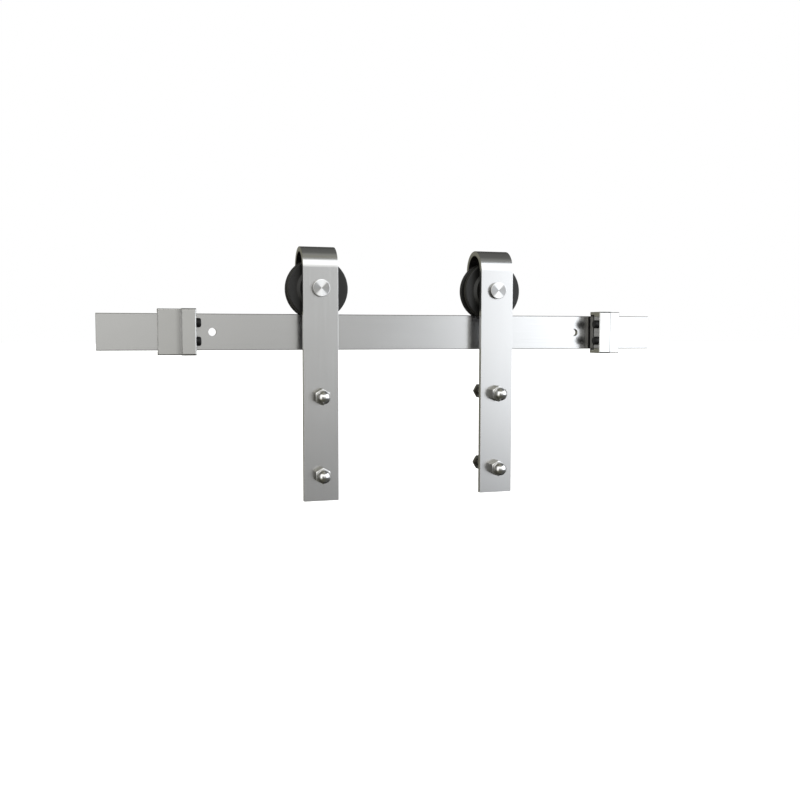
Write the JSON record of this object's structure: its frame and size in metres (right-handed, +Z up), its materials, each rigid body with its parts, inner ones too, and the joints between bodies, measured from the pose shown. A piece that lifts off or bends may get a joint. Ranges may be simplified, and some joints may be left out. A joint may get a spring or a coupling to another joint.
{
  "type": "sliding barn door hardware",
  "caption": "Flat rail with strap hangers on grooved rollers and clamp-on end stops with rubber bumpers, for a sliding barn door.",
  "frame": {"origin": "midpoint of the rail's two wall-bolt holes, on the rail's back face", "axes": "+X along the rail to the right as seen from the room, +Y into the wall, +Z up"},
  "size_m": [0.6623, 0.0756, 0.2845],
  "materials": {
    "rail_steel": "brushed along its length, satin",
    "strap_steel": "fine brushed along the strap, satin",
    "stop_steel": "satin blasted",
    "turned_steel": "fine turned, spun face",
    "polished_steel": "polished",
    "bolt_steel": "plain machined",
    "bearing_steel": "ground",
    "roller_nylon": "moulded, satin",
    "black_rubber": "matt"
  },
  "bodies": {
    "rail": {"rail": "rail_steel"},
    "left_hanger": {"left_strap": "strap_steel", "left_axle_bolt": "turned_steel", "left_axle_nut": "bolt_steel", "left_axle_spacers": "bolt_steel", "left_bearing_inner_race": "bearing_steel", "left_door_bolts": "bolt_steel", "left_acorn_nuts": "polished_steel"},
    "right_hanger": {"right_strap": "strap_steel", "right_axle_bolt": "turned_steel", "right_axle_nut": "bolt_steel", "right_axle_spacers": "bolt_steel", "right_bearing_inner_race": "bearing_steel", "right_door_bolts": "bolt_steel", "right_acorn_nuts": "polished_steel"},
    "left_roller": {"left_wheel": "roller_nylon", "left_bearing_outer_race": "bearing_steel", "left_bearing_balls": "bearing_steel", "left_bearing_cage": "bearing_steel", "left_bearing_shields": "bearing_steel"},
    "right_roller": {"right_wheel": "roller_nylon", "right_bearing_outer_race": "bearing_steel", "right_bearing_balls": "bearing_steel", "right_bearing_cage": "bearing_steel", "right_bearing_shields": "bearing_steel"},
    "left_stop": {"left_stop_body": "stop_steel", "left_stop_core": "bolt_steel", "left_stop_core_seat": "black_rubber", "left_stop_liner": "black_rubber", "left_stop_screws": "bolt_steel", "left_bumpers": "black_rubber"},
    "right_stop": {"right_stop_body": "stop_steel", "right_stop_core": "bolt_steel", "right_stop_core_seat": "black_rubber", "right_stop_liner": "black_rubber", "right_stop_screws": "bolt_steel", "right_bumpers": "black_rubber"}
  },
  "joints": [
    {"name": "left_hanger_slide", "type": "slide", "parent": "rail", "child": "left_hanger", "axis": [1, 0, 0], "range_m": [-0.109, 0.07]},
    {"name": "right_hanger_slide", "type": "slide", "parent": "rail", "child": "right_hanger", "axis": [1, 0, 0], "range_m": [-0.07, 0.105]},
    {"name": "left_wheel_spin", "type": "hinge", "parent": "left_hanger", "child": "left_roller", "pos_m": [-0.1027, -0.003, 0.0485], "axis": [0, 1, 0], "continuous": true},
    {"name": "right_wheel_spin", "type": "hinge", "parent": "right_hanger", "child": "right_roller", "pos_m": [0.1075, -0.003, 0.0485], "axis": [0, 1, 0], "continuous": true},
    {"name": "left_stop_slide", "type": "slide", "parent": "rail", "child": "left_stop", "axis": [1, 0, 0], "range_m": [-0.06, 0]},
    {"name": "right_stop_slide", "type": "slide", "parent": "rail", "child": "right_stop", "axis": [1, 0, 0], "range_m": [0, 0.042]}
  ],
  "couplings": [
    {"joint": "left_wheel_spin", "follows": "left_hanger_slide", "rad_per_m": 35.088},
    {"joint": "right_wheel_spin", "follows": "right_hanger_slide", "rad_per_m": 35.088}
  ]
}
